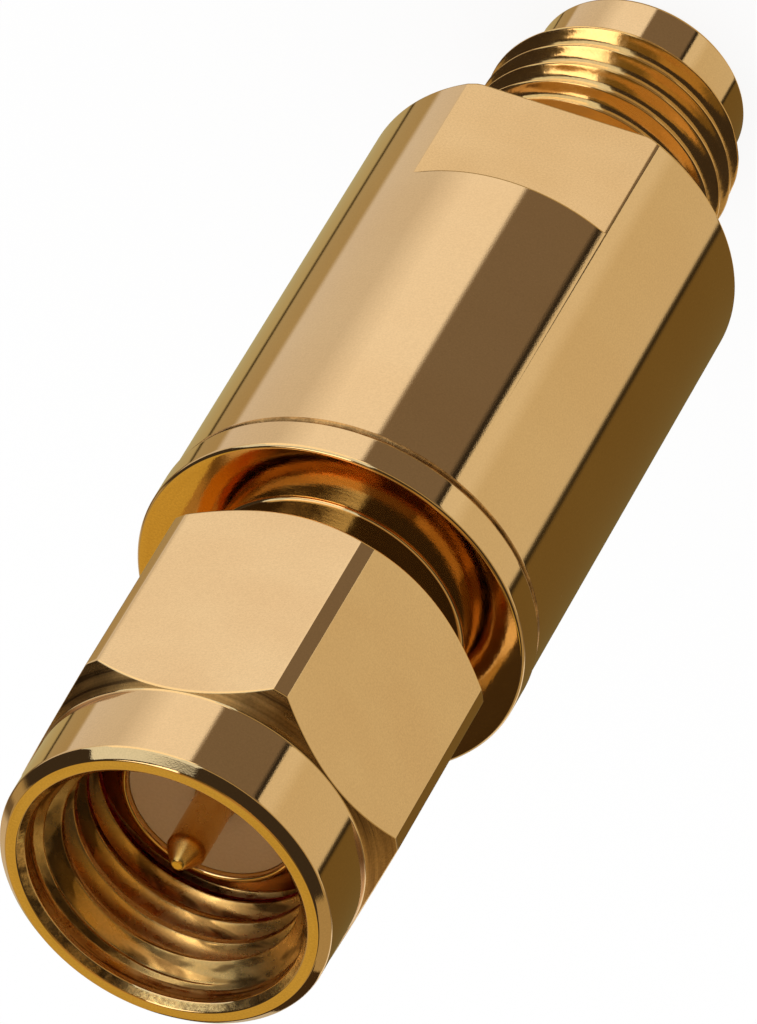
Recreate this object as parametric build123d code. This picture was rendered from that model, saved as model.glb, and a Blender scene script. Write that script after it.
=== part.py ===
from build123d import *
import os

# In-line coaxial adapter: a plug with a coupling nut on top, a threaded jack below.
# Millimetres. The axis is Z, the jack's end face lies on Z = 0 and the plug points up.

# Lengths along the axis, from the jack's end upwards
barrel_length = 6.0         # jack end face to the body's shoulder
body_length = 13.0          # shoulder to the seam under the flange
flange_width = 1.0          # flange of the plug shell
nut_gap = 1.3               # bare neck between flange and nut
nut_length = 8.7            # coupling nut, rear face to rim

# Bead, ferrule and jack bore: each radius is built up from the bead's
bead_radius = 2.05          # dielectric beads of both ends
ferrule_wall = 0.24         # plug ferrule round its bead
ferrule_clearance = 0.03    # a mating ferrule in the jack's counterbore
counterbore_depth = 1.93    # jack end face to the bead's face
pilot_wall = 0.32           # smooth lead of the jack round its counterbore
pilot_length = 1.45
thread_rise = 0.535         # from the smooth lead up to the thread's crest
thread_depth = 0.335        # crest to root
relief_depth = 0.475        # thread relief beside the shoulder
relief_length = 0.6
bead_lip = 0.35             # collar at each bead's inner end
bead_lip_length = 0.8
press_clearance = 0.01      # pieces that are pressed or clamped together
edge_break = 0.08           # small edge breaks
end_break = 0.1             # outer edge of the jack's end face

# Body
spigot_wall = 0.88          # plug shell inside the body
spigot_length = 2.0
body_wall = 1.35
body_break = 0.15           # edge break at the shoulder
floor_thickness = 1.2       # shoulder to the floor of the chamber
flat_depth = 0.65           # wrench flats, 8.0 mm across
flat_length = 3.6
flange_step = 0.05          # flange proud of the body
flange_break = 0.06

# Plug
rim_to_face = 3.0           # nut's rim back to the ferrule's face
ferrule_length = 2.6        # ferrule face to the gasket's seat
ferrule_break = 0.12        # chamfer round the ferrule's face
bead_recess = 0.15          # plug bead behind the ferrule's face
seat_width = 0.9            # neck proud of the ferrule, where the gasket sits
gasket_height = 0.8
gasket_clearance = 0.02
gasket_inset = 0.09
groove_setback = 0.9        # gasket's seat to the ring groove
groove_width = 0.5
groove_depth = 0.44
ring_thickness = 0.4
ring_seat_clearance = 0.1   # ring round the groove's floor
ring_reach = 0.26           # ring proud of the neck
ring_gap = 1.3              # opening of the split ring

# Coupling nut, from its thread outwards
nut_clearance = 0.09        # nut round the neck
ring_room = 0.2             # nut's groove round the ring
ring_side_room = 0.1        # nut's groove above and below the ring
entry_clearance = 0.125     # smooth entry in front of the thread
entry_depth = 0.6
nut_thread_length = 2.9     # smooth bore behind it, round the gasket
thread_runout = 0.45        # cone behind the thread
mouth_chamfer = 0.17
rim_land = 0.25             # flat ring of the rim
rim_chamfer = 0.23
collar_length = 2.2         # turned front of the nut, with its chamfer
collar_step = 0.05          # hexagon faces proud of the collar
corner_rise = 0.52          # turned corners proud of the hexagon's faces
rear_cone = 0.7             # length of the rear chamfer
rear_entry = 0.2            # chamfer of the rear bore
nut_turn = 12.0             # degrees, a corner's place from +X

# Contacts
pin_radius = 0.46
pin_reach = 2.08            # pin beyond the ferrule's face
pin_tip_length = 0.5
pin_tip_radius = 0.14
pin_rise = 0.03             # pin's cone beyond the bead's face
pin_clearance = 0.01        # a mating pin in the socket
socket_wall = 0.165
socket_depth = 2.6
socket_recess = 0.05        # socket below the bead's face
socket_lead = 0.06          # chamfer of the socket's mouth
slot_width = 0.14
slot_length = 2.2
barb_height = 0.15          # ring that holds a contact in its bead
barb_length = 0.6
barb_setback = 1.0          # bead's inner end to the barb

# Resistor card and its clamps
card_width = 4.4
card_thickness = 0.5
card_inset = 0.4            # card's ends inside the clamps
fork_length = 0.8           # contact's fork over the card's end
channel_radius = 1.5        # air channel over the card

# Radii that follow
ferrule_radius = bead_radius + ferrule_wall
counterbore_radius = ferrule_radius + ferrule_clearance
pilot_radius = counterbore_radius + pilot_wall
thread_radius = pilot_radius + thread_rise
root_radius = thread_radius - thread_depth
relief_radius = thread_radius - relief_depth
bead_bore = bead_radius + press_clearance
lip_radius = bead_radius + bead_lip
lip_bore = lip_radius + press_clearance
spigot_radius = lip_bore + spigot_wall
chamber_radius = spigot_radius + press_clearance
body_radius = chamber_radius + body_wall
flange_radius = body_radius + flange_step
neck_radius = ferrule_radius + seat_width
groove_radius = neck_radius - groove_depth
ring_inner = groove_radius + ring_seat_clearance
ring_outer = neck_radius + ring_reach
nut_bore = neck_radius + nut_clearance
nut_groove_radius = ring_outer + ring_room
entry_radius = thread_radius + entry_clearance
mouth_radius = entry_radius + mouth_chamfer
rim_radius = mouth_radius + rim_land
collar_radius = rim_radius + rim_chamfer
hex_apothem = collar_radius + collar_step
land_radius = hex_apothem + corner_rise
socket_bore = pin_radius + pin_clearance
contact_radius = socket_bore + socket_wall
contact_hole = contact_radius + press_clearance
pin_hole = pin_radius + pin_rise + press_clearance
barb_radius = contact_radius + barb_height
barb_hole = barb_radius + press_clearance

# Heights that follow
shoulder_z = barrel_length
floor_z = shoulder_z + floor_thickness
seam_z = shoulder_z + body_length
spigot_z = seam_z - spigot_length
flange_z = seam_z + flange_width
nut_rear_z = flange_z + nut_gap
rim_z = nut_rear_z + nut_length
face_z = rim_z - rim_to_face
bead_z = face_z - bead_recess
pin_cone_z = bead_z + pin_rise
seat_z = face_z - ferrule_length
groove_top_z = seat_z - groove_setback
groove_low_z = groove_top_z - groove_width
ring_mid_z = groove_low_z + groove_width / 2
card_low_z = floor_z + card_inset
card_high_z = spigot_z - card_inset


def turned(*points):
    """A solid turned about Z from a closed outline of (radius, height) points."""
    outline = Polyline(*[(radius, 0, height) for radius, height in points], close=True)
    return revolve(make_face(outline), axis=Axis.Z)


def block(width, depth, low, high):
    """A box centred on the axis between two heights."""
    return Pos(0, 0, (low + high) / 2) * Box(width, depth, high - low)


def make_housing():
    """Body, wrench flats and jack barrel in one piece, bored through."""
    relief_z = shoulder_z - relief_length
    body = turned(
        (counterbore_radius + edge_break, 0),
        (pilot_radius - end_break, 0),
        (pilot_radius, end_break),
        (pilot_radius, pilot_length),
        (root_radius, pilot_length),
        (thread_radius, pilot_length + thread_depth),
        (thread_radius, relief_z - relief_depth),
        (relief_radius, relief_z),
        (relief_radius, shoulder_z),
        (body_radius - body_break, shoulder_z),
        (body_radius, shoulder_z + body_break),
        (body_radius, seam_z - edge_break),
        (body_radius - edge_break, seam_z),
        (chamber_radius + edge_break, seam_z),
        (chamber_radius, seam_z - edge_break),
        (chamber_radius, floor_z),
        (lip_bore, floor_z),
        (lip_bore, floor_z - bead_lip_length),
        (bead_bore, floor_z - bead_lip_length),
        (bead_bore, counterbore_depth),
        (counterbore_radius, counterbore_depth),
        (counterbore_radius, edge_break),
    )
    flats = block(2 * body_radius, 2 * body_radius, shoulder_z, shoulder_z + flat_length)
    flats -= block(2 * body_radius, 2 * (body_radius - flat_depth), shoulder_z, shoulder_z + flat_length)
    return body - flats


def make_plug_shell():
    """Spigot, flange, neck with its ring groove, and ferrule in one piece."""
    return turned(
        (lip_bore, spigot_z),
        (spigot_radius - edge_break, spigot_z),
        (spigot_radius, spigot_z + edge_break),
        (spigot_radius, seam_z),
        (flange_radius - edge_break, seam_z),
        (flange_radius, seam_z + edge_break),
        (flange_radius, flange_z - flange_break),
        (flange_radius - flange_break, flange_z),
        (neck_radius, flange_z),
        (neck_radius, groove_low_z),
        (groove_radius, groove_low_z),
        (groove_radius, groove_top_z),
        (neck_radius, groove_top_z),
        (neck_radius, seat_z - edge_break),
        (neck_radius - edge_break, seat_z),
        (ferrule_radius, seat_z),
        (ferrule_radius, face_z - ferrule_break),
        (ferrule_radius - ferrule_break, face_z),
        (bead_bore, face_z),
        (bead_bore, spigot_z + bead_lip_length),
        (lip_bore, spigot_z + bead_lip_length),
    )


def make_bead(inner_z, face, mouth):
    """A bead from its lipped inner end to its face, with the hole for a barbed contact.

    The mouth is the hole's outline at the face, from the face inwards.
    """
    way = 1 if face > inner_z else -1
    lip_z = inner_z + way * bead_lip_length
    barb_near = inner_z + way * (barb_setback - press_clearance)
    barb_far = inner_z + way * (barb_setback + barb_length + press_clearance)
    return turned(
        (contact_hole, inner_z),
        (lip_radius, inner_z),
        (lip_radius, lip_z),
        (bead_radius, lip_z),
        (bead_radius, face),
        *mouth,
        (contact_hole, barb_far),
        (barb_hole, barb_far),
        (barb_hole, barb_near),
        (contact_hole, barb_near),
    )


def fork_slot(end_z, card_z):
    """The slot of a contact's inner end, over the card."""
    low, high = sorted((end_z, card_z))
    return block(2 * contact_radius, card_thickness + 2 * press_clearance, low, high)


def make_plug_pin():
    """Centre contact of the plug: fork, barb, body and tipped pin."""
    fork_z = card_high_z - fork_length
    barb_z = spigot_z + barb_setback
    tip_z = face_z + pin_reach
    pin = turned(
        (0, fork_z),
        (contact_radius, fork_z),
        (contact_radius, barb_z),
        (barb_radius, barb_z),
        (contact_radius, barb_z + barb_length),
        (contact_radius, pin_cone_z - (contact_radius - pin_radius)),
        (pin_radius, pin_cone_z),
        (pin_radius, tip_z - pin_tip_length),
        (pin_tip_radius, tip_z),
        (0, tip_z),
    )
    return pin - fork_slot(fork_z, card_high_z + press_clearance)


def make_jack_socket():
    """Centre contact of the jack: slotted socket, barb and fork."""
    mouth_z = counterbore_depth + socket_recess
    fork_z = card_low_z + fork_length
    barb_z = floor_z - barb_setback
    bore_z = mouth_z + socket_depth
    socket = turned(
        (socket_bore + socket_lead, mouth_z),
        (contact_radius - socket_lead, mouth_z),
        (contact_radius, mouth_z + socket_lead),
        (contact_radius, barb_z - barb_length),
        (barb_radius, barb_z),
        (contact_radius, barb_z),
        (contact_radius, fork_z),
        (0, fork_z),
        (0, bore_z + socket_bore / 2),
        (socket_bore, bore_z),
        (socket_bore, mouth_z + socket_lead),
    )
    slot = block(2 * contact_radius, slot_width, mouth_z, mouth_z + slot_length)
    socket -= slot
    socket -= Rot(0, 0, 90) * slot
    return socket - fork_slot(card_low_z - press_clearance, fork_z)


def make_retaining_ring():
    """Split spring ring, half in the neck's groove and half in the nut's."""
    low = ring_mid_z - ring_thickness / 2
    high = ring_mid_z + ring_thickness / 2
    ring = turned((ring_inner, low), (ring_outer, low), (ring_outer, high), (ring_inner, high))
    return ring - Pos(ring_outer, 0, 0) * block(2 * ring_outer, ring_gap, low, high)


def make_gasket():
    """Flat ring on the neck's end, round the ferrule."""
    inner = ferrule_radius + gasket_clearance
    outer = neck_radius - gasket_inset
    top = seat_z + gasket_height
    return turned(
        (inner, seat_z),
        (outer, seat_z),
        (outer, top - edge_break),
        (outer - edge_break, top),
        (inner + edge_break, top),
        (inner, top - edge_break),
    )


def make_coupling_nut():
    """Hexagon with turned corners, collar and rim, and the stepped bore inside."""
    cone = corner_rise + collar_step
    cone_z = rim_z - collar_length
    thread_z = rim_z - entry_depth - (entry_radius - root_radius)
    thread_end_z = rim_z - entry_depth - nut_thread_length
    ring_half = ring_thickness / 2 + ring_side_room
    blank = turned(
        (nut_bore + rear_entry, nut_rear_z),
        (land_radius - rear_cone, nut_rear_z),
        (land_radius, nut_rear_z + rear_cone),
        (land_radius, cone_z - cone),
        (collar_radius, cone_z),
        (collar_radius, rim_z - rim_chamfer),
        (rim_radius, rim_z),
        (mouth_radius, rim_z),
        (entry_radius, rim_z - mouth_chamfer),
        (entry_radius, rim_z - entry_depth),
        (root_radius, thread_z),
        (root_radius, thread_end_z),
        (nut_bore, thread_end_z - thread_runout),
        (nut_bore, ring_mid_z + ring_half),
        (nut_groove_radius, ring_mid_z + ring_half),
        (nut_groove_radius, ring_mid_z - ring_half),
        (nut_bore, ring_mid_z - ring_half),
        (nut_bore, nut_rear_z + rear_entry),
    )
    hexagon = RegularPolygon(hex_apothem, 6, major_radius=False, rotation=nut_turn)
    prism = Pos(0, 0, nut_rear_z) * extrude(hexagon, nut_length)
    return blank & prism


def make_resistor_card():
    """Thin ceramic card on the axis, between the two forks."""
    return block(card_width, card_thickness, card_low_z, card_high_z)


def make_card_clamp(side):
    """Half of the split sleeve: side is -1 for the front half and 1 for the back."""
    half = Pos(0, side * spigot_radius / 2, 0) * Rectangle(2 * spigot_radius, spigot_radius)
    section = Circle(spigot_radius) & half
    section -= Circle(channel_radius)
    sleeve = Pos(0, 0, floor_z) * extrude(section, spigot_z - floor_z)
    room = 2 * press_clearance
    pocket = block(
        card_width + room,
        card_thickness + room,
        card_low_z - press_clearance,
        card_high_z + press_clearance,
    )
    return sleeve - pocket


pieces = {
    "coupling_nut": make_coupling_nut(),
    "retaining_ring": make_retaining_ring(),
    "gasket": make_gasket(),
    "plug_shell": make_plug_shell(),
    "plug_insulator": make_bead(
        spigot_z,
        bead_z,
        [(pin_hole, bead_z), (contact_hole, bead_z - (contact_hole - pin_hole))],
    ),
    "plug_pin": make_plug_pin(),
    "housing": make_housing(),
    "jack_insulator": make_bead(floor_z, counterbore_depth, [(contact_hole, counterbore_depth)]),
    "jack_socket": make_jack_socket(),
    "resistor_card": make_resistor_card(),
    "card_clamp_front": make_card_clamp(-1),
    "card_clamp_back": make_card_clamp(1),
}

os.makedirs("parts", exist_ok=True)
for name, piece in pieces.items():
    export_step(piece, f"parts/{name}.step")
    print(f"{name}: {piece.volume:.3f} mm3")
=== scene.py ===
import math
import bmesh
import bpy
from mathutils import Matrix, Vector


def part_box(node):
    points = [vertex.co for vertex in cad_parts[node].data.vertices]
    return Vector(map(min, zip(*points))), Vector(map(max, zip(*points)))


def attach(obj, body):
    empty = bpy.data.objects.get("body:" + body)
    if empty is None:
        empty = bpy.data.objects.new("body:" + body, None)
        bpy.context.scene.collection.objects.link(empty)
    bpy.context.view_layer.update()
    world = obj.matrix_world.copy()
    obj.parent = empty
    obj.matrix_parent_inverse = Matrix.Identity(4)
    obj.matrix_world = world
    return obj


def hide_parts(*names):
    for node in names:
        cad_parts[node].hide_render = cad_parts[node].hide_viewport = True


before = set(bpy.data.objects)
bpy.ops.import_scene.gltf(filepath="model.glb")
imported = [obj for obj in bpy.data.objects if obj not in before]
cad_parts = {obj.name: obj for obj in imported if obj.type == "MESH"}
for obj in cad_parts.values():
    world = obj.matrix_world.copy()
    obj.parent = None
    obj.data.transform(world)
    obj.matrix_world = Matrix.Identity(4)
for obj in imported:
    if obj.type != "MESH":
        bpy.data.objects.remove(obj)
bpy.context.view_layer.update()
mm = 0.001  # every size below is in millimetres, Blender's are metres

view = {
    "azimuth": -107.92,    # degrees round from +X
    "elevation": 44.31,
    "roll": 149.2,         # the part lies across the picture, plug towards us
    "distance": 274.8,
    "lens": 423.0,
    "sensor": 36.0,
    "nearest": 0.01,       # metres
    "aimHeight": 15.0,
    "slideRight": -0.72,
    "slideUp": -0.86,
}


def nodeBox(node):
    low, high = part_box(node)
    return low / mm, high / mm


# heights shared by several pieces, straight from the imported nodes
nutLow, nutHigh = nodeBox("coupling_nut")
shellLow, shellHigh = nodeBox("plug_shell")
housingHigh = nodeBox("housing")[1]
beadLow, beadHigh = nodeBox("plug_insulator")
gasketLow, gasketHigh = nodeBox("gasket")
ringLow, ringHigh = nodeBox("retaining_ring")
pinLow, pinHigh = nodeBox("plug_pin")
jackBeadLow, jackBeadHigh = nodeBox("jack_insulator")


# turning: an outline of radius and height, carried round the axis

cornerSteps = 3
cornerShare = 0.45  # the most of a stretch that one corner may take
guardShare = 0.48   # the furthest along it that a guard row may lie
hair = 1e-4         # tells a flat from the round beside it
meshing = {"weldReach": 1e-7, "tinyEdge": 1e-8, "shadeWeight": 60}  # lengths in metres

# finishes of a turned outline, in goldSet's order; a piece with one finish uses the first place
polished, satin, deepPlate, worn, coneCut, faced = range(6)
milled, torn, roughCut, paintedShadePlate, contactPlate, warmPlate = range(6, 12)
onlyFinish = 0


def roundOff(outline, reach):
    # outline points are (radius, height, finish of the stretch that follows)
    # corners are polished, beside a rough cut they stay rough
    rows = []
    for i, (radius, height, finish) in enumerate(outline):
        if i in (0, len(outline) - 1):
            rows.append((radius, height, finish))
            continue
        here = Vector((radius, height))
        before = Vector(outline[i - 1][:2]) - here
        after = Vector(outline[i + 1][:2]) - here
        room = min(reach, cornerShare * before.length, cornerShare * after.length)
        start = here + before.normalized() * room
        end = here + after.normalized() * room
        corner = roughCut if roughCut in (finish, outline[i - 1][2]) else polished
        # a guard row on each side keeps the flat stretches shaded flat
        guards = [
            here + way.normalized() * min(2 * room, guardShare * way.length)
            for way in (before, after)
        ]
        rows.append((*guards[0], outline[i - 1][2]))
        for k in range(cornerSteps + 1):
            t = k / cornerSteps
            point = start.lerp(here, t).lerp(here.lerp(end, t), t)
            rows.append((*point, finish if k == cornerSteps else corner))
        rows.append((*guards[1], finish))
    return rows


def fullTurn(edges=(), step=1.5, edgeHalf=0.2, edgeGuard=0.8, clearance=1.2):
    # even angles, with close pairs either side of each upright edge
    angles = []
    room = clearance * edgeGuard
    for k in range(round(360 / step)):
        gap = [abs((k * step - e + 180) % 360 - 180) for e in edges]
        if not gap or min(gap) > room:
            angles.append(k * step)
    for e in edges:
        angles += [(e + s) % 360 for s in (-edgeGuard, -edgeHalf, edgeHalf, edgeGuard)]
    angles.sort()
    return angles + [angles[0] + 360]


def turnPiece(name, rowsAt, angles, finishes):
    verts, faces, marks = [], [], []
    for angle in angles:
        a = math.radians(angle)
        rows = rowsAt(angle)
        for radius, height, finish in rows:
            verts.append((radius * math.cos(a) * mm, radius * math.sin(a) * mm, height * mm))
            marks.append(finish)
    count = len(rows)
    for i in range(len(angles) - 1):
        for j in range(count):
            k = (j + 1) % count
            faces.append((i * count + j, (i + 1) * count + j, (i + 1) * count + k, i * count + k))
    mesh = bpy.data.meshes.new(name)
    mesh.from_pydata(verts, [], faces)
    for finish in finishes:
        mesh.materials.append(finish)
    for face, corners in zip(mesh.polygons, faces):
        face.material_index = marks[corners[0]]
        face.use_smooth = True
    work = bmesh.new()
    work.from_mesh(mesh)
    bmesh.ops.remove_doubles(work, verts=work.verts, dist=meshing["weldReach"])
    bmesh.ops.dissolve_degenerate(work, edges=work.edges, dist=meshing["tinyEdge"])
    bmesh.ops.recalc_face_normals(work, faces=work.faces)
    work.to_mesh(mesh)
    work.free()
    piece = bpy.data.objects.new(name, mesh)
    bpy.context.scene.collection.objects.link(piece)
    shade = piece.modifiers.new("evenShade", "WEIGHTED_NORMAL")
    shade.mode = "FACE_AREA"
    shade.weight = meshing["shadeWeight"]
    return piece


# screw threads, right-handed: a row climbs one pitch for each turn

thread = {"pitch": 0.7056, "rowsPerTurn": 36, "spareTurns": 2}  # the pitch is 36 to the inch


def ridge(phase, form):
    # 1 on the crest, falling to 0 in a rounded root; crestRound softens the crest's edges
    away = abs(phase - 0.5) * 2
    beyond = max(0.0, away - form["crestShare"])
    soft = form["crestRound"]
    reach = form["rootShare"] - form["crestShare"]
    down = (math.hypot(beyond, soft) - soft) / (math.hypot(reach, soft) - soft)
    return (1 - min(1.0, down)) ** form["rootRound"]


def threadRows(angle, low, high, radiusAt, form, finish):
    turn = angle / 360
    pitch = thread["pitch"]
    steps = thread["rowsPerTurn"]
    spare = thread["spareTurns"]  # rows past an end gather on it
    count = math.ceil(((high - low) / pitch + spare) * steps)
    rows = []
    for j in range(count):
        height = low + (j / steps - spare + turn) * pitch
        height = min(high, max(low, height))
        share = ridge(((height - low) / pitch - turn + form["start"]) % 1, form)
        rows.append((radiusAt(height, share), height, finish))
    return rows


# materials

def startMaterial(name):
    material = bpy.data.materials.new(name)
    material.use_nodes = True
    nodes = material.node_tree.nodes
    return material, nodes, material.node_tree.links, nodes["Principled BSDF"]


def startGlow(name):
    material, nodes, links = startMaterial(name)[:3]
    glow = nodes.new("ShaderNodeEmission")
    links.new(glow.outputs["Emission"], nodes["Material Output"].inputs["Surface"])
    return material, glow


def spreadCoords(nodes, links, scale):
    place = nodes.new("ShaderNodeTexCoord")
    mapping = nodes.new("ShaderNodeMapping")
    mapping.inputs["Scale"].default_value = [s / mm for s in scale]
    links.new(place.outputs["Object"], mapping.inputs["Vector"])
    return mapping.outputs["Vector"]


def noiseNode(nodes, links, scale, detail=3.0):
    noise = nodes.new("ShaderNodeTexNoise")
    noise.inputs["Scale"].default_value = 1.0
    noise.inputs["Detail"].default_value = detail
    links.new(spreadCoords(nodes, links, scale), noise.inputs["Vector"])
    return noise.outputs["Fac"]


def rangeNode(nodes, links, source, low, high, fromLow=0.3, fromHigh=0.7):
    span = nodes.new("ShaderNodeMapRange")
    span.inputs["From Min"].default_value = fromLow
    span.inputs["From Max"].default_value = fromHigh
    span.inputs["To Min"].default_value = low
    span.inputs["To Max"].default_value = high
    links.new(source, span.inputs["Value"])
    return span.outputs["Result"]


def toneNode(nodes, links, source, toneA, toneB, low=0.35, high=0.65):
    ramp = nodes.new("ShaderNodeValToRGB")
    ramp.color_ramp.elements[0].position = low
    ramp.color_ramp.elements[0].color = (*toneA, 1)
    ramp.color_ramp.elements[1].position = high
    ramp.color_ramp.elements[1].color = (*toneB, 1)
    links.new(source, ramp.inputs["Fac"])
    return ramp.outputs["Color"]


def bumpNode(nodes, links, source, depth, under=None):
    bump = nodes.new("ShaderNodeBump")
    bump.inputs["Strength"].default_value = 1.0
    bump.inputs["Distance"].default_value = depth * mm
    links.new(source, bump.inputs["Height"])
    if under:
        links.new(under, bump.inputs["Normal"])
    return bump.outputs["Normal"]


def turnNoise(nodes, links, lines, spread, detail=2.0):
    # fine lines that follow the lathe: they change along the outline, hardly round the axis
    lean = 0.8  # share of the radius in them, so that square faces get lines too
    place = nodes.new("ShaderNodeTexCoord").outputs["Object"]
    split = nodes.new("ShaderNodeSeparateXYZ")
    links.new(place, split.inputs["Vector"])
    level = nodes.new("ShaderNodeVectorMath")
    level.operation = "MULTIPLY"
    level.inputs[1].default_value = (1, 1, 0)
    links.new(place, level.inputs[0])
    reach = nodes.new("ShaderNodeVectorMath")
    reach.operation = "LENGTH"
    links.new(level.outputs["Vector"], reach.inputs[0])
    heading = nodes.new("ShaderNodeVectorMath")
    heading.operation = "NORMALIZE"
    links.new(level.outputs["Vector"], heading.inputs[0])
    scaled = nodes.new("ShaderNodeVectorMath")
    scaled.operation = "SCALE"
    scaled.inputs["Scale"].default_value = spread
    links.new(heading.outputs["Vector"], scaled.inputs[0])
    along = nodes.new("ShaderNodeMath")
    along.operation = "MULTIPLY"
    along.inputs[1].default_value = lean
    links.new(reach.outputs["Value"], along.inputs[0])
    less = nodes.new("ShaderNodeMath")
    less.operation = "SUBTRACT"
    links.new(along.outputs["Value"], less.inputs[0])
    links.new(split.outputs["Z"], less.inputs[1])
    spaced = nodes.new("ShaderNodeMath")
    spaced.operation = "MULTIPLY"
    spaced.inputs[1].default_value = lines / mm
    links.new(less.outputs["Value"], spaced.inputs[0])
    noise = nodes.new("ShaderNodeTexNoise")
    noise.noise_dimensions = "4D"
    noise.inputs["Scale"].default_value = 1.0
    noise.inputs["Detail"].default_value = detail
    links.new(scaled.outputs["Vector"], noise.inputs["Vector"])
    links.new(spaced.outputs["Value"], noise.inputs["W"])
    return noise.outputs["Fac"]


def goldFinish(name, look):
    material, nodes, links, shader = startMaterial(name)
    shader.inputs["Metallic"].default_value = 1.0
    cloud = turnNoise(nodes, links, *look["cloud"])
    tone = toneNode(nodes, links, cloud, look["toneA"], look["toneB"])
    if "worn" in look:  # dull brown patches where the plate has rubbed
        stops = tone.node.color_ramp.elements
        stops[0].position = look["plateAbove"]
        stop = stops.new(look["wornBelow"])
        stop.color = (*look["worn"], 1)
    size, amount = look["fleck"]
    fleck = noiseNode(nodes, links, (size, size, size), 1.0)
    flecked = nodes.new("ShaderNodeVectorMath")
    flecked.operation = "SCALE"
    links.new(tone, flecked.inputs[0])
    links.new(rangeNode(nodes, links, fleck, 1 - amount, 1 + amount), flecked.inputs["Scale"])
    links.new(flecked.outputs["Vector"], shader.inputs["Base Color"])
    smear = noiseNode(nodes, links, look["smear"])
    links.new(rangeNode(nodes, links, smear, *look["roughness"]), shader.inputs["Roughness"])
    if "rings" in look:
        lines = turnNoise(nodes, links, *look["rings"])
    else:
        lines = noiseNode(nodes, links, look["brush"], 2.0)
    grain = noiseNode(nodes, links, look["grain"], 2.0)
    lined = bumpNode(nodes, links, lines, look["lineDepth"])
    links.new(bumpNode(nodes, links, grain, look["grainDepth"], lined), shader.inputs["Normal"])
    return material


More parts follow.
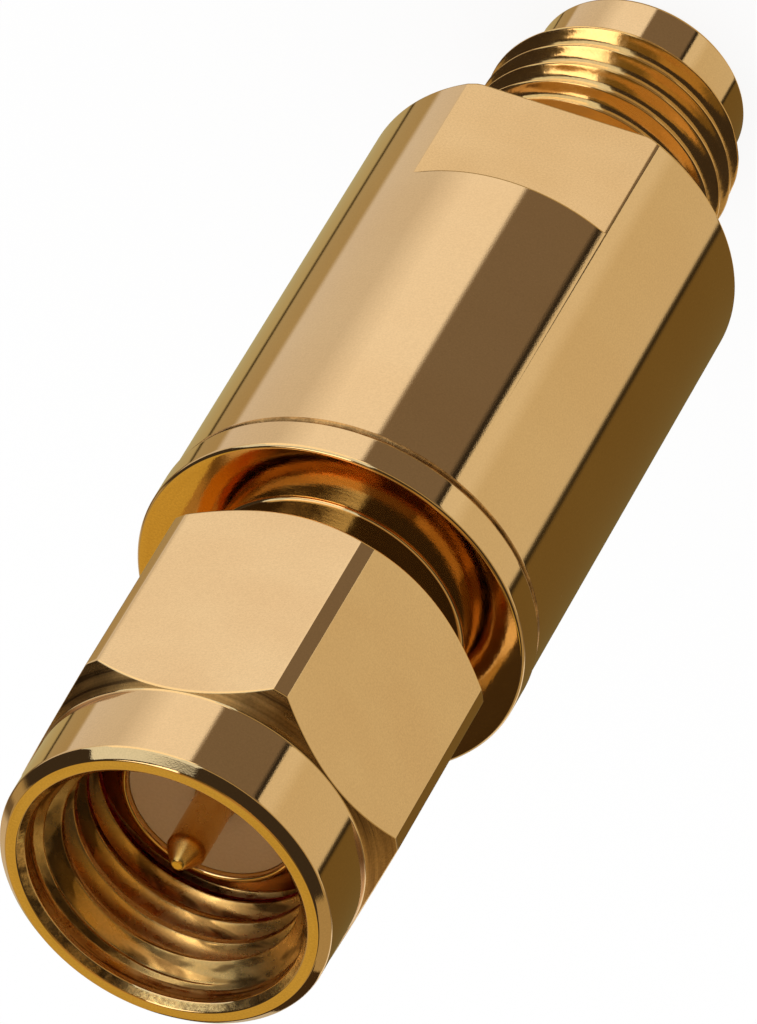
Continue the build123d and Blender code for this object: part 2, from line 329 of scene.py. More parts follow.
goldLooks = {
    "goldTurned": {       # body, flange, collar: polished on the lathe
        "toneA": (0.86, 0.575, 0.285), "toneB": (0.88, 0.60, 0.305), "fleck": (24, 0.045),
        "cloud": (0.4, 0.8), "smear": (0.7, 0.7, 0.25), "roughness": (0.03, 0.055),
        "rings": (22.0, 0.8), "lineDepth": 0.0001, "grain": (30, 30, 30), "grainDepth": 0.00034,
    },
    "goldSatin": {        # hexagon faces and clamp halves: milled
        "toneA": (0.85, 0.565, 0.28), "toneB": (0.89, 0.61, 0.31), "fleck": (22, 0.05),
        "cloud": (0.5, 1.2), "smear": (1.2, 1.2, 0.6), "roughness": (0.10, 0.15),
        "brush": (9.0, 9.0, 0.8), "lineDepth": 0.0004, "grain": (26, 26, 26), "grainDepth": 0.0006,
    },
    "goldMilled": {       # wrench flats: a little duller
        "toneA": (0.77, 0.49, 0.215), "toneB": (0.81, 0.53, 0.245), "fleck": (20, 0.06),
        "cloud": (0.5, 1.2), "smear": (1.2, 1.2, 0.6), "roughness": (0.11, 0.16),
        "brush": (1.2, 9.0, 9.0), "lineDepth": 0.0004, "grain": (24, 24, 24), "grainDepth": 0.0006,
    },
    "goldThread": {       # outer thread, bores and ring: a deeper plate
        "toneA": (0.84, 0.50, 0.185), "toneB": (0.90, 0.57, 0.245), "fleck": (20, 0.05),
        "cloud": (2.0, 2.0), "smear": (1.6, 1.6, 4.0), "roughness": (0.08, 0.16),
        "rings": (14.0, 0.8), "lineDepth": 0.0005, "grain": (5, 5, 5), "grainDepth": 0.0026,
    },
    "goldWorn": {         # inside of the nut: rubbed crests, streaks along the thread
        "toneA": (0.78, 0.48, 0.175), "toneB": (0.91, 0.60, 0.25), "fleck": (16, 0.06),
        "worn": (0.30, 0.17, 0.06), "wornBelow": 0.40, "plateAbove": 0.44,
        "cloud": (10.0, 1.2, 3.0), "smear": (2.0, 2.0, 6.0), "roughness": (0.18, 0.38),
        "rings": (16.0, 0.8), "lineDepth": 0.0048, "grain": (26, 26, 26), "grainDepth": 0.0005,
    },
    "goldBurr": {         # mouth of the nut, edges of the ferrule: torn a little by the tool
        "toneA": (0.66, 0.41, 0.16), "toneB": (0.95, 0.62, 0.26), "fleck": (14, 0.30),
        "worn": (0.26, 0.16, 0.07), "wornBelow": 0.36, "plateAbove": 0.44,
        "cloud": (7.0, 5.0, 3.0), "smear": (4.0, 4.0, 4.0), "roughness": (0.16, 0.34),
        "rings": (12.0, 4.0), "lineDepth": 0.0040, "grain": (14, 14, 14), "grainDepth": 0.0030,
    },
    "goldCut": {          # turned cone in front of the hexagon: open tool marks
        "toneA": (0.44, 0.235, 0.08), "toneB": (0.72, 0.41, 0.15), "fleck": (18, 0.10),
        "worn": (0.17, 0.09, 0.033), "wornBelow": 0.36, "plateAbove": 0.44,
        "cloud": (6.0, 0.8, 4.0), "smear": (1.2, 1.2, 2.0), "roughness": (0.24, 0.36),
        "rings": (6.0, 0.9), "lineDepth": 0.0060, "grain": (30, 30, 30), "grainDepth": 0.0008,
    },
    "goldSeam": {         # joint between body and flange: rough, half filled with plate
        "toneA": (0.30, 0.165, 0.065), "toneB": (0.78, 0.44, 0.17), "fleck": (14, 0.20),
        "cloud": (3.0, 7.0, 3.0), "smear": (3.0, 3.0, 3.0), "roughness": (0.22, 0.40),
        "rings": (8.0, 4.0), "lineDepth": 0.0030, "grain": (14, 14, 14), "grainDepth": 0.0030,
    },
    "goldNeckPaintedShade": {        # neck: polished, plate toned darker and greyer as painted shade for the recess between flange and nut
        "toneA": (0.60, 0.42, 0.20), "toneB": (0.68, 0.48, 0.235), "fleck": (24, 0.06),
        "cloud": (2.0, 2.0, 2.0), "smear": (1.0, 1.0, 1.0), "roughness": (0.05, 0.10),
        "rings": (14.0, 1.0), "lineDepth": 0.0006, "grain": (30, 30, 30), "grainDepth": 0.0004,
    },
    "goldFaced": {        # rim and rear of the nut: rings from the tool, a softer shine
        "toneA": (0.80, 0.54, 0.235), "toneB": (0.88, 0.61, 0.30), "fleck": (20, 0.06),
        "cloud": (5.0, 1.6), "smear": (2.4, 2.4, 2.4), "roughness": (0.09, 0.17),
        "rings": (9.0, 1.0), "lineDepth": 0.0016, "grain": (30, 30, 30), "grainDepth": 0.0004,
    },
    "goldFlange": {       # flange's face: a warmer plate, less open rings
        "toneA": (0.84, 0.53, 0.21), "toneB": (0.90, 0.58, 0.245), "fleck": (20, 0.08),
        "cloud": (5.0, 1.6), "smear": (2.4, 2.4, 2.4), "roughness": (0.07, 0.12),
        "rings": (9.0, 1.0), "lineDepth": 0.0009, "grain": (14, 14, 14), "grainDepth": 0.0008,
    },
    "goldContact": {      # pin, socket and ferrule's end: soft bright plate
        "toneA": (0.84, 0.515, 0.155), "toneB": (0.90, 0.575, 0.19), "fleck": (24, 0.06),
        "cloud": (3.0, 2.0), "smear": (2.0, 2.0, 2.0), "roughness": (0.22, 0.30),
        "rings": (16.0, 1.0), "lineDepth": 0.0006, "grain": (28, 28, 28), "grainDepth": 0.0005,
    },
}
golds = {name: goldFinish(name, look) for name, look in goldLooks.items()}
goldSet = [golds[name] for name in (
    "goldTurned", "goldSatin", "goldThread", "goldWorn", "goldCut", "goldFaced",
    "goldMilled", "goldBurr", "goldSeam", "goldNeckPaintedShade", "goldContact", "goldFlange",
)]


waxTint = (1.0, 0.9, 0.8)  # red light goes a little further in


def plainFinish(name, look):
    material, nodes, links, shader = startMaterial(name)
    cloud = noiseNode(nodes, links, look["cloud"])
    links.new(toneNode(nodes, links, cloud, look["toneA"], look["toneB"]), shader.inputs["Base Color"])
    smear = noiseNode(nodes, links, look["smear"])
    links.new(rangeNode(nodes, links, smear, *look["roughness"]), shader.inputs["Roughness"])
    shader.inputs["Subsurface Weight"].default_value = look["waxy"]
    shader.inputs["Subsurface Radius"].default_value = waxTint
    shader.inputs["Subsurface Scale"].default_value = look["waxDepth"] * mm
    grain = noiseNode(nodes, links, look["grain"], 2.0)
    links.new(bumpNode(nodes, links, grain, look["grainDepth"]), shader.inputs["Normal"])
    return material


plainLooks = {
    # white dielectric coloured tan-brown: painted shade and warm light bounced from the gold walls around
    # it
    "beadPaintedShade": {
        "toneA": (0.465, 0.252, 0.095), "toneB": (0.50, 0.275, 0.108), "cloud": (14, 14, 14),
        "smear": (2.0, 2.0, 2.0), "roughness": (0.34, 0.44), "waxy": 0.35, "waxDepth": 0.35,
        "grain": (16.0, 16.0, 16.0), "grainDepth": 0.0008,
    },
    "gasketRed": {
        "toneA": (0.62, 0.035, 0.05), "toneB": (0.74, 0.055, 0.07), "cloud": (2.0, 2.0, 2.0),
        "smear": (3.0, 3.0, 3.0), "roughness": (0.45, 0.6), "waxy": 0.0, "waxDepth": 0.1,
        "grain": (14.0, 14.0, 14.0), "grainDepth": 0.004,
    },
    "cardWhite": {
        "toneA": (0.80, 0.79, 0.74), "toneB": (0.86, 0.85, 0.81), "cloud": (1.5, 1.5, 1.5),
        "smear": (3.0, 3.0, 3.0), "roughness": (0.5, 0.65), "waxy": 0.0, "waxDepth": 0.1,
        "grain": (20.0, 20.0, 20.0), "grainDepth": 0.002,
    },
}
plains = {name: plainFinish(name, look) for name, look in plainLooks.items()}
print("materials made:", len(golds) + len(plains))


def settle(piece, body, slot, *nodes):
    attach(piece, body)
    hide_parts(*nodes)
    return piece


# housing: body with two wrench flats, jack barrel with its thread

housing = {
    "bodyRadius": 4.65, "bodyBreak": 0.15, "flatHalf": 4.0, "flatLength": 3.6, "flatBreak": 0.03,
    "steepest": 0.01,  # least cosine: square to a flat its line would never end
    "shoulder": 6.0, "chamberRadius": 3.3, "floor": 7.2, "seamBreak": 0.08,
    "pilotRadius": 2.64, "pilotLength": 1.45, "endBreak": 0.1, "mouthBreak": 0.08,
    "boreRadius": 2.32, "boreDepth": 1.93, "beadBore": 2.06, "lipBore": 2.41, "lipLength": 0.8,
    "crest": 3.175, "root": 2.805, "reliefRadius": 2.70, "reliefLength": 0.6,
    "crestShare": 0.0, "crestRound": 0.09, "rootShare": 1.0, "rootRound": 1.9, "start": 0.615,
    "softEdge": 0.03, "flatEdgeHalf": 0.06,
}


def housingRows(angle):
    h = housing
    seam = housingHigh.z
    towards = math.radians((angle + 180) % 180 - 90)
    outer = min(h["bodyRadius"], h["flatHalf"] / max(h["steepest"], math.cos(towards)))
    flatFinish = milled if outer < h["bodyRadius"] - hair else polished
    rim = h["bodyRadius"] - h["bodyBreak"]
    shoulder = h["shoulder"]
    flatTop = shoulder + h["flatLength"]
    threadLow = h["pilotLength"]
    threadHigh = shoulder - h["reliefLength"]

    def radiusAt(height, share):
        radius = h["root"] + (h["crest"] - h["root"]) * share
        lead = h["root"] + (height - threadLow)
        tail = h["reliefRadius"] + (threadHigh - height)
        return min(radius, lead, tail)

    nose = [
        (h["boreRadius"] + h["mouthBreak"], 0, polished),
        (h["pilotRadius"] - h["endBreak"], 0, polished),
        (h["pilotRadius"], h["endBreak"], polished),
        (h["pilotRadius"], threadLow, polished),
        (h["root"], threadLow, deepPlate),
    ]
    rest = [
        (h["reliefRadius"], threadHigh, deepPlate),
        (h["reliefRadius"], shoulder, polished),
        (min(rim, outer - h["flatBreak"]), shoulder, polished),
        (outer, shoulder + max(h["flatBreak"], outer - rim), flatFinish),
        (outer, flatTop, polished),
        (h["bodyRadius"], flatTop, polished),
        (h["bodyRadius"], seam - h["seamBreak"], roughCut),
        (h["bodyRadius"] - h["seamBreak"], seam, polished),
        (h["chamberRadius"], seam, deepPlate),
        (h["chamberRadius"], h["floor"], deepPlate),
        (h["lipBore"], h["floor"], deepPlate),
        (h["lipBore"], h["floor"] - h["lipLength"], deepPlate),
        (h["beadBore"], h["floor"] - h["lipLength"], deepPlate),
        (h["beadBore"], h["boreDepth"], deepPlate),
        (h["boreRadius"], h["boreDepth"], polished),
        (h["boreRadius"], h["mouthBreak"], polished),
        (h["boreRadius"] + h["mouthBreak"], 0, polished),
    ]
    rows = roundOff(nose, h["softEdge"])
    rows += threadRows(angle, threadLow, threadHigh, radiusAt, h, deepPlate)
    return rows + roundOff(rest, h["softEdge"])


flatSpread = math.degrees(math.acos(housing["flatHalf"] / housing["bodyRadius"]))
flatEdges = [side + s * flatSpread for side in (90, 270) for s in (-1, 1)]
bodyTurn = fullTurn(flatEdges, edgeHalf=housing["flatEdgeHalf"])
body = turnPiece("adapterBody", housingRows, bodyTurn, goldSet)
settle(body, "connector", "gold_body", "housing")
print("body turned:", len(body.data.polygons), "faces")


# plug shell: spigot, flange, neck with ring groove, ferrule

shell = {
    "spigotRadius": 3.29, "flangeRadius": 4.70, "flangeWidth": 1.0, "flangeBreak": 0.06,
    "seamBreak": 0.05, "seamGap": 0.05, "seamDepth": 0.3, "neckRadius": 3.19, "neckFillet": 0.05,
    "grooveRadius": 2.75, "grooveHalf": 0.25, "ferruleRadius": 2.29, "ferruleBreak": 0.12,
    "beadBore": 2.06, "lipBore": 2.41, "lipLength": 0.8, "mouthBreak": 0.045, "softEdge": 0.03,
}


def shellRows(angle):
    s = shell
    seam = housingHigh.z
    flange = seam + s["flangeWidth"]
    groove = (ringLow.z + ringHigh.z) / 2
    low, high = shellLow.z, shellHigh.z
    seat = gasketLow.z
    outline = [
        (s["lipBore"], low, polished),
        (s["spigotRadius"], low, polished),
        (s["spigotRadius"], seam, polished),
        (s["flangeRadius"] - s["seamDepth"], seam, polished),
        (s["flangeRadius"] - s["seamDepth"], seam + s["seamGap"], roughCut),
        (s["flangeRadius"] - s["seamBreak"], seam + s["seamGap"], roughCut),
        (s["flangeRadius"], seam + s["seamGap"] + s["seamBreak"], polished),
        (s["flangeRadius"], flange - s["flangeBreak"], polished),
        (s["flangeRadius"] - s["flangeBreak"], flange, warmPlate),
        (s["neckRadius"] + s["neckFillet"], flange, polished),
        # the neck takes the darker finish: painted shade between flange and nut
        (s["neckRadius"], flange + s["neckFillet"], paintedShadePlate),
        (s["neckRadius"], groove - s["grooveHalf"], polished),
        (s["grooveRadius"], groove - s["grooveHalf"], polished),
        (s["grooveRadius"], groove + s["grooveHalf"], polished),
        (s["neckRadius"], groove + s["grooveHalf"], polished),
        (s["neckRadius"], seat, polished),
        (s["ferruleRadius"], seat, deepPlate),
        (s["ferruleRadius"], high - s["ferruleBreak"], torn),
        (s["ferruleRadius"] - s["ferruleBreak"], high, contactPlate),
        (s["beadBore"] + s["mouthBreak"], high, torn),
        (s["beadBore"], high - s["mouthBreak"], contactPlate),
        (s["beadBore"], low + s["lipLength"], deepPlate),
        (s["lipBore"], low + s["lipLength"], deepPlate),
        (s["lipBore"], low, deepPlate),
    ]
    return roundOff(outline, s["softEdge"])


plugShell = turnPiece("plugShell", shellRows, fullTurn(), goldSet)
settle(plugShell, "connector", "gold_shell", "plug_shell")
print("plug shell turned:", len(plugShell.data.polygons), "faces")


# coupling nut: hexagon with turned corners, collar, rim and inner thread

nut = {
    "flatHalf": 4.0, "cornerRadius": 4.52, "cornerAngle": 12.0, "collarRadius": 3.95,
    "collarLength": 2.2, "rimRadius": 3.72, "rimChamfer": 0.23, "mouthRadius": 3.47,
    "entryRadius": 3.3, "entryDepth": 0.6, "mouthChamfer": 0.17, "rearCone": 0.7,
    "crest": 2.84, "root": 3.22, "threadLength": 2.9, "runOut": 0.45,
    "boreRadius": 3.28, "rearEntry": 0.2, "grooveRadius": 3.65, "grooveHalf": 0.3,
    "softEdge": 0.03, "crestShare": 0.18, "crestRound": 0.08, "rootShare": 0.95, "rootRound": 1.2,
    "start": 0.68, "leadSlope": 1.0,
}


def nutRows(angle):
    n = nut
    rim, rear = nutHigh.z, nutLow.z
    towards = math.radians((angle - n["cornerAngle"]) % 60 - 30)
    outer = min(n["cornerRadius"], n["flatHalf"] / math.cos(towards))
    faceFinish = satin if outer < n["cornerRadius"] - hair else polished
    coneTop = rim - n["collarLength"]
    rearRadius = n["cornerRadius"] - n["rearCone"]
    groove = (ringLow.z + ringHigh.z) / 2
    threadHigh = rim - n["entryDepth"]
    threadLow = threadHigh - n["threadLength"] - n["runOut"]

    def radiusAt(height, share):
        radius = n["root"] + (n["crest"] - n["root"]) * share
        lead = n["entryRadius"] - (threadHigh - height) * n["leadSlope"]
        tail = n["boreRadius"] - (height - threadLow)
        return max(radius, lead, tail)

    outside = [
        (n["boreRadius"], groove - n["grooveHalf"], deepPlate),
        (n["boreRadius"], rear + n["rearEntry"], deepPlate),
        (n["boreRadius"] + n["rearEntry"], rear, faced),
        (rearRadius, rear, faced),
        (outer, rear + outer - rearRadius, faceFinish),
        (outer, coneTop - outer + n["collarRadius"], coneCut),
        (n["collarRadius"], coneTop, polished),
        (n["collarRadius"], rim - n["rimChamfer"], polished),
        (n["rimRadius"], rim, faced),
        (n["mouthRadius"], rim, torn),
        (n["entryRadius"], rim - n["mouthChamfer"], worn),
        (n["entryRadius"], threadHigh, worn),
    ]
    inside = [
        (n["boreRadius"], threadLow, deepPlate),
        (n["boreRadius"], groove + n["grooveHalf"], deepPlate),
        (n["grooveRadius"], groove + n["grooveHalf"], deepPlate),
        (n["grooveRadius"], groove - n["grooveHalf"], deepPlate),
        (n["boreRadius"], groove - n["grooveHalf"], deepPlate),
    ]
    rows = roundOff(outside, n["softEdge"])
    rows += reversed(threadRows(angle, threadLow, threadHigh, radiusAt, n, worn))
    return rows + roundOff(inside, n["softEdge"])


cornerSpread = math.degrees(math.acos(nut["flatHalf"] / nut["cornerRadius"]))
nutEdges = []
for k in range(6):
    face = nut["cornerAngle"] + 30 + 60 * k
    nutEdges += [face - cornerSpread, face + cornerSpread]
couplingNut = turnPiece("couplingNut", nutRows, fullTurn(nutEdges), goldSet)
settle(couplingNut, "nut", "gold_nut", "coupling_nut")
print("coupling nut turned:", len(couplingNut.data.polygons), "faces")


# plug pin, bead and gasket

pin = {
    "radius": 0.46, "tipLength": 0.5, "tipRadius": 0.14, "bodyRadius": 0.635,
    "barbRadius": 0.785, "barbLow": 1.0, "barbLength": 0.6, "rise": 0.03, "softEdge": 0.07,
}


def pinRows(angle):
    p = pin
    low, high = pinLow.z, pinHigh.z
    cone = beadHigh.z + p["rise"]
    barb = beadLow.z + p["barbLow"]
    outline = [
        (0, low, onlyFinish),
        (p["bodyRadius"], low, onlyFinish),
        (p["bodyRadius"], barb, onlyFinish),
        (p["barbRadius"], barb, onlyFinish),
        (p["bodyRadius"], barb + p["barbLength"], onlyFinish),
        (p["bodyRadius"], cone - p["bodyRadius"] + p["radius"], onlyFinish),
        (p["radius"], cone, onlyFinish),
        (p["radius"], high - p["tipLength"], onlyFinish),
        (p["tipRadius"], high, onlyFinish),
        (0, high, onlyFinish),
    ]
    return roundOff(outline, p["softEdge"])


bead = {
    "radius": 2.05, "lipRadius": 2.4, "lipLength": 0.8, "hole": 0.645, "barbHole": 0.795,
    "barbLow": 0.99, "barbHigh": 1.61, "pinHole": 0.492, "leastMouth": 0.02, "softEdge": 0.006,
}


def beadRows(inner, face, mouth):
    b = bead
    way = 1 if face > inner else -1
    outline = [
        (b["hole"], inner, onlyFinish),
        (b["lipRadius"], inner, onlyFinish),
        (b["lipRadius"], inner + way * b["lipLength"], onlyFinish),
        (b["radius"], inner + way * b["lipLength"], onlyFinish),
        (b["radius"], face, onlyFinish),
        (mouth, face, onlyFinish),
        (b["hole"], face - way * max(b["leastMouth"], b["hole"] - mouth), onlyFinish),
        (b["hole"], inner + way * b["barbHigh"], onlyFinish),
        (b["barbHole"], inner + way * b["barbHigh"], onlyFinish),
        (b["barbHole"], inner + way * b["barbLow"], onlyFinish),
        (b["hole"], inner + way * b["barbLow"], onlyFinish),
        (b["hole"], inner, onlyFinish),
    ]
    return roundOff(outline, b["softEdge"])


gasket = {"inner": 2.31, "outer": 3.10, "softEdge": 0.18}


def gasketRows(angle):
    g = gasket
    low, high = gasketLow.z, gasketHigh.z
    middle = (g["inner"] + g["outer"]) / 2
    outline = [
        (middle, low, onlyFinish),
        (g["outer"], low, onlyFinish),
        (g["outer"], high, onlyFinish),
        (g["inner"], high, onlyFinish),
        (g["inner"], low, onlyFinish),
        (middle, low, onlyFinish),
    ]
    return roundOff(outline, g["softEdge"])


plugPin = turnPiece("plugPin", pinRows, fullTurn(step=5), [golds["goldContact"]])
settle(plugPin, "connector", "gold_contact", "plug_pin")
plugBead = turnPiece(
    "plugBead", lambda angle: beadRows(beadLow.z, beadHigh.z, bead["pinHole"]),
    fullTurn(step=3), [plains["beadPaintedShade"]],
)
settle(plugBead, "connector", "bead_dielectric", "plug_insulator")
jackBead = turnPiece(
    "jackBead", lambda angle: beadRows(jackBeadHigh.z, jackBeadLow.z, bead["hole"]),
    fullTurn(step=3), [plains["beadPaintedShade"]],
)
settle(jackBead, "connector", "bead_dielectric", "jack_insulator")
sealRing = turnPiece("sealRing", gasketRows, fullTurn(step=3), [plains["gasketRed"]])
settle(sealRing, "connector", "gasket_silicone", "gasket")
print("pin, beads and gasket made")


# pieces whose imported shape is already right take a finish
cadFinishes = {
    "jack_socket": golds["goldContact"],
    "retaining_ring": golds["goldThread"],
    "resistor_card": plains["cardWhite"],
    "card_clamp_front": golds["goldSatin"],
    "card_clamp_back": golds["goldSatin"],
}
for node, finish in cadFinishes.items():
    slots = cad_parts[node].data.materials
    slots.clear()
    slots.append(finish)
print("finished packed pieces:", len(cadFinishes))


# studio: a white floor in a soft tent, and cards that only the metal mirrors

lowCards = [
    # turn from the camera's side in degrees, colour of the card up to the next one, soft join
    (-180, (0.17, 0.115, 0.036), 6),
    (-91, (0.04, 0.03, 0.015), 2),
    (-86.5, (0.65, 0.58, 0.42), 2),
    (-36, (0.75, 0.70, 0.57), 8),
    (-23.2, (0.03, 0.025, 0.02), 1),
    (-19.6, (0.20, 0.16, 0.12), 1),
    (27, (0.95, 0.94, 0.94), 2.5),
    (69, (0.69, 0.665, 0.635), 22),
    (117, (0.42, 0.335, 0.175), 4),
    (137, (0.07, 0.05, 0.02), 1.5),
    (140.5, (0.46, 0.38, 0.18), 1.5),
]
deepCards = [
    (-180, (0.62, 0.50, 0.27), 6),
    (-60, (0.50, 0.40, 0.20), 12),
    (30, (0.42, 0.35, 0.21), 6),
    (88, (0.10, 0.07, 0.03), 8),
    (135, (0.62, 0.50, 0.27), 6),
]
sideCards = [
    (-180, (0.55, 0.49, 0.36), 6),
    (-150, (0.92, 0.90, 0.86), 4),
    (-112, (0.20, 0.16, 0.11), 4),
    (-88, (0.65, 0.58, 0.42), 4),
    (-22, (0.18, 0.14, 0.10), 3),
    (20, (1.15, 1.10, 0.95), 3),
    (76, (0.66, 0.62, 0.55), 12),
    (118, (0.16, 0.12, 0.07), 4),
    (146, (0.60, 0.52, 0.38), 4),
]
warmCards = [
    (-180, (0.42, 0.33, 0.17), 4),
    (86, (0.045, 0.035, 0.025), 4),
    (128, (0.42, 0.33, 0.17), 4),
]
highCards = [
    (-180, (0.16, 0.105, 0.03), 6),
    (-70, (0.40, 0.24, 0.06), 12),
    (-8, (0.16, 0.105, 0.03), 12),
    (86, (0.04, 0.03, 0.015), 6),
    (150, (0.16, 0.105, 0.03), 6),
]
panels = [
    # colour, then edges: the panel lies where direction dot axis is over the limit
    # x is towards the camera, y to its left, z up; softbox, low lamp, glow overhead, high lamp
    ((0.80, 0.90, 0.93), [((0, 1, 0), 0.25), ((1, 0, 0), 0.03), ((0.267, 0, -1), -0.5555)]),
    ((1.20, 1.12, 0.92), [((-0.47, 0.88, 0), 0), ((0.95, -0.31, 0), 0), ((0, 0, -1), -0.42)]),
    ((0.46, 0.28, 0.085), [((0, 0, 1), 0.94), ((0.286, -1, 0), -0.20)]),
    (
        (2.1, 1.95, 1.6),
        [((-0.286, 1, 0), 0.20), ((0.996, -0.087, 0), 0), ((0, 0, 1), 0.725), ((0, 0, -1), -0.95)],
    ),
]
studio = {
    # tops of the rows of cards in degrees above level, the tent in metres, the flag in millimetres
    "deepTop": -51.0, "lowTop": -33.0, "sideTop": -1.0, "warmTop": 26.0, "darkTop": 51.0, "highTop": 71.0,
    "join": 2.0, "mirrorings": 10, "panelJoin": 0.02,
    "dark": (0.045, 0.035, 0.025), "overhead": (0.34, 0.16, 0.03),
    "amber": (0.57, 0.405, 0.09), "amberLift": 44.3, "amberInner": 24.0, "amberOuter": 36.0,
    "tentRadius": 1.2, "tentWhite": 1.35, "tentTop": 0.85,
    "floorWhite": (1.0, 1.0, 1.0), "floorGlow": 0.86,
    "flag": (0.05, 0.03, 0.012), "flagAway": 28.0, "flagLow": 8.0, "flagHigh": 18.2,
    "flagNear": -1.6, "flagFar": -14.0,
}


def rampOf(nodes, links, share, ring):
    ramp = nodes.new("ShaderNodeValToRGB")
    stops = ramp.color_ramp.elements
    stops[0].position = 0
    stops[0].color = (*ring[0][1], 1)
    stops[1].position = 1
    stops[1].color = (*ring[-1][1], 1)
    for before, (at, colour, join) in zip(ring, ring[1:]):
        start = stops.new((at - join / 2 + 180) / 360)
        start.color = (*before[1], 1)
        end = stops.new((at + join / 2 + 180) / 360)
        end.color = (*colour, 1)
    links.new(share, ramp.inputs["Fac"])
    return ramp.outputs["Color"]


def mixColours(nodes, links, factor, under, over):
    mix = nodes.new("ShaderNodeMix")
    mix.data_type = "RGBA"
    links.new(factor, mix.inputs["Factor"])
    for socket, colour in ((mix.inputs["A"], under), (mix.inputs["B"], over)):
        if isinstance(colour, tuple):
            socket.default_value = (*colour, 1)
        else:
            links.new(colour, socket)
    return mix.outputs["Result"]


def makeWorld():
    s = studio
    world = bpy.data.worlds.new("studio")
    bpy.context.scene.world = world
    world.use_nodes = True
    world.cycles.sampling_method = "NONE"
    nodes, links = world.node_tree.nodes, world.node_tree.links
    place = nodes.new("ShaderNodeTexCoord")
    spin = nodes.new("ShaderNodeMapping")
    spin.inputs["Rotation"].default_value = (0, 0, math.radians(-view["azimuth"]))
    links.new(place.outputs["Generated"], spin.inputs["Vector"])
    split = nodes.new("ShaderNodeSeparateXYZ")
    links.new(spin.outputs["Vector"], split.inputs["Vector"])
    bearing = nodes.new("ShaderNodeMath")
    bearing.operation = "ARCTAN2"
    links.new(split.outputs["Y"], bearing.inputs[0])
    links.new(split.outputs["X"], bearing.inputs[1])
    share = rangeNode(nodes, links, bearing.outputs["Value"], 0, 1, -math.pi, math.pi)

    def above(degrees):
        low, high = (math.sin(math.radians(degrees + k * s["join"])) for k in (-0.5, 0.5))
        return rangeNode(nodes, links, split.outputs["Z"], 0, 1, low, high)

    def facing(axis):
        aim = nodes.new("ShaderNodeVectorMath")
        aim.operation = "DOT_PRODUCT"
        aim.inputs[1].default_value = axis
        links.new(spin.outputs["Vector"], aim.inputs[0])
        return aim.outputs["Value"]

    low = mixColours(
        nodes, links, above(s["deepTop"]),
        rampOf(nodes, links, share, deepCards), rampOf(nodes, links, share, lowCards),
    )
    side = rampOf(nodes, links, share, sideCards)
    sky = mixColours(nodes, links, above(s["warmTop"]), rampOf(nodes, links, share, warmCards), s["dark"])
    sky = mixColours(nodes, links, above(s["darkTop"]), sky, rampOf(nodes, links, share, highCards))
    sky = mixColours(nodes, links, above(s["highTop"]), sky, s["overhead"])
    # amber panel behind the part, which the rim's face mirrors
    lift = math.radians(s["amberLift"])
    behind = facing((-math.cos(lift), 0, math.sin(lift)))
    edges = [math.cos(math.radians(s[k])) for k in ("amberOuter", "amberInner")]
    sky = mixColours(nodes, links, rangeNode(nodes, links, behind, 0, 1, *edges), sky, s["amber"])
    # each panel covers what lies inside all of its edges
    for colour, edges in panels:
        cover = None
        for axis, limit in edges:
            inside = rangeNode(nodes, links, facing(axis), 0, 1, limit, limit + s["panelJoin"])
            if cover:
                both = nodes.new("ShaderNodeMath")
                both.operation = "MULTIPLY"
                links.new(cover, both.inputs[0])
                links.new(inside, both.inputs[1])
                inside = both.outputs["Value"]
            cover = inside
        sky = mixColours(nodes, links, cover, sky, colour)
    ring = mixColours(nodes, links, above(s["lowTop"]), low, side)
    whole = mixColours(nodes, links, above(s["sideTop"]), ring, sky)
    links.new(whole, nodes["Background"].inputs["Color"])


def stageObject(name, verts, faces, material):
    mesh = bpy.data.meshes.new(name)
    mesh.from_pydata(verts, [], faces)
    mesh.materials.append(material)
    item = bpy.data.objects.new(name, mesh)
    bpy.context.scene.collection.objects.link(item)
    item.visible_glossy = False
    return item


def makeFloor():
    # seen by the camera its shadows are lightened, as under a white cloth
    material, nodes, links, shader = startMaterial("floorWhite")
    shader.inputs["Base Color"].default_value = (*studio["floorWhite"], 1)
    shader.inputs["Roughness"].default_value = 1.0
    shader.inputs["Specular IOR Level"].default_value = 0.0
    glow = nodes.new("ShaderNodeEmission")
    path = nodes.new("ShaderNodeLightPath")
    part = nodes.new("ShaderNodeMath")
    part.operation = "MULTIPLY"
    part.inputs[1].default_value = studio["floorGlow"]
    links.new(path.outputs["Is Camera Ray"], part.inputs[0])
    mix = nodes.new("ShaderNodeMixShader")
    links.new(part.outputs["Value"], mix.inputs["Fac"])
    links.new(shader.outputs["BSDF"], mix.inputs[1])
    links.new(glow.outputs["Emission"], mix.inputs[2])
    links.new(mix.outputs["Shader"], nodes["Material Output"].inputs["Surface"])
    half = studio["tentRadius"]
    corners = [(-half, -half, 0), (half, -half, 0), (half, half, 0), (-half, half, 0)]
    stageObject("floor", corners, [(0, 1, 2, 3)], material)


def makeFlag():
    # a small dark flag behind the flange, mirrored in its right-hand side only
    s = studio
    material, glow = startGlow("flagDark")
    glow.inputs["Color"].default_value = (*s["flag"], 1)
    lift = math.radians(view["elevation"])
    away = Vector((-math.cos(lift), 0, math.sin(lift))) * s["flagAway"]
    along = Vector((math.sin(lift), 0, math.cos(lift)))
    spin = Matrix.Rotation(math.radians(view["azimuth"]), 3, "Z")
    corners = []
    for side, heights in (("flagNear", ("flagLow", "flagHigh")), ("flagFar", ("flagHigh", "flagLow"))):
        for height in heights:
            corners.append(spin @ (away + along * s[height] + Vector((0, s[side], 0))) * mm)
    flag = stageObject("flag", corners, [(0, 1, 2, 3)], material)
    flag.visible_glossy = True
    flag.visible_camera = flag.visible_diffuse = flag.visible_shadow = flag.visible_transmission = False


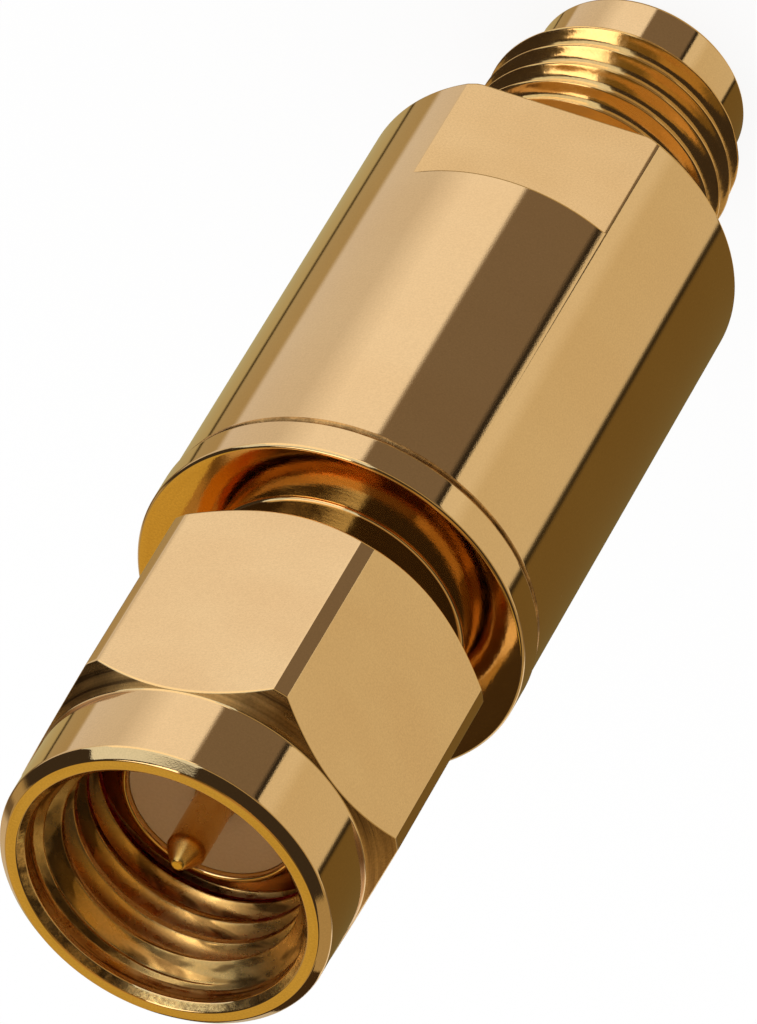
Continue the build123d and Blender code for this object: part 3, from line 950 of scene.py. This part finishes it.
def makeTent():
    # a white half sphere, a little darker overhead
    s = studio
    material, glow = startGlow("tentWhite")
    material.cycles.emission_sampling = "NONE"
    nodes, links = material.node_tree.nodes, material.node_tree.links
    place = nodes.new("ShaderNodeTexCoord")
    split = nodes.new("ShaderNodeSeparateXYZ")
    links.new(place.outputs["Object"], split.inputs["Vector"])
    level = rangeNode(nodes, links, split.outputs["Z"], s["tentWhite"], s["tentTop"], 0, s["tentRadius"])
    links.new(level, glow.inputs["Strength"])
    verts, faces = [], []
    around, rings = 48, 12
    for i in range(rings + 1):
        lift = math.pi / 2 * i / rings
        for k in range(around):
            turn = 2 * math.pi * k / around
            reach = s["tentRadius"] * math.cos(lift)
            verts.append((reach * math.cos(turn), reach * math.sin(turn), s["tentRadius"] * math.sin(lift)))
    for i in range(rings):
        for k in range(around):
            after = (k + 1) % around
            low, high = i * around, (i + 1) * around
            faces.append((low + k, low + after, high + after, high + k))
    stageObject("tent", verts, faces, material)


def makeCamera():
    azimuth, elevation, roll = (math.radians(view[k]) for k in ("azimuth", "elevation", "roll"))
    level = math.cos(elevation)
    back = Vector((level * math.cos(azimuth), level * math.sin(azimuth), math.sin(elevation)))
    across = Vector((-math.sin(azimuth), math.cos(azimuth), 0))
    above = back.cross(across)
    right = across * math.cos(roll) - above * math.sin(roll)
    up = across * math.sin(roll) + above * math.cos(roll)
    aim = Vector((0, 0, view["aimHeight"])) + right * view["slideRight"] + up * view["slideUp"]
    place = aim + back * view["distance"]
    data = bpy.data.cameras.new("camera")
    data.sensor_width = view["sensor"]
    data.lens = view["lens"]
    data.clip_start = view["nearest"]
    camera = bpy.data.objects.new("camera", data)
    bpy.context.scene.collection.objects.link(camera)
    turn = Matrix((right, up, back)).transposed().to_4x4()
    camera.matrix_world = Matrix.Translation(place * mm) @ turn
    bpy.context.scene.camera = camera


makeWorld()
makeFloor()
makeTent()
makeFlag()
makeCamera()
bpy.context.scene.view_settings.view_transform = "Standard"
# enough for light to find its way out of the nut and the neck
bpy.context.scene.cycles.glossy_bounces = studio["mirrorings"]
print("studio ready")
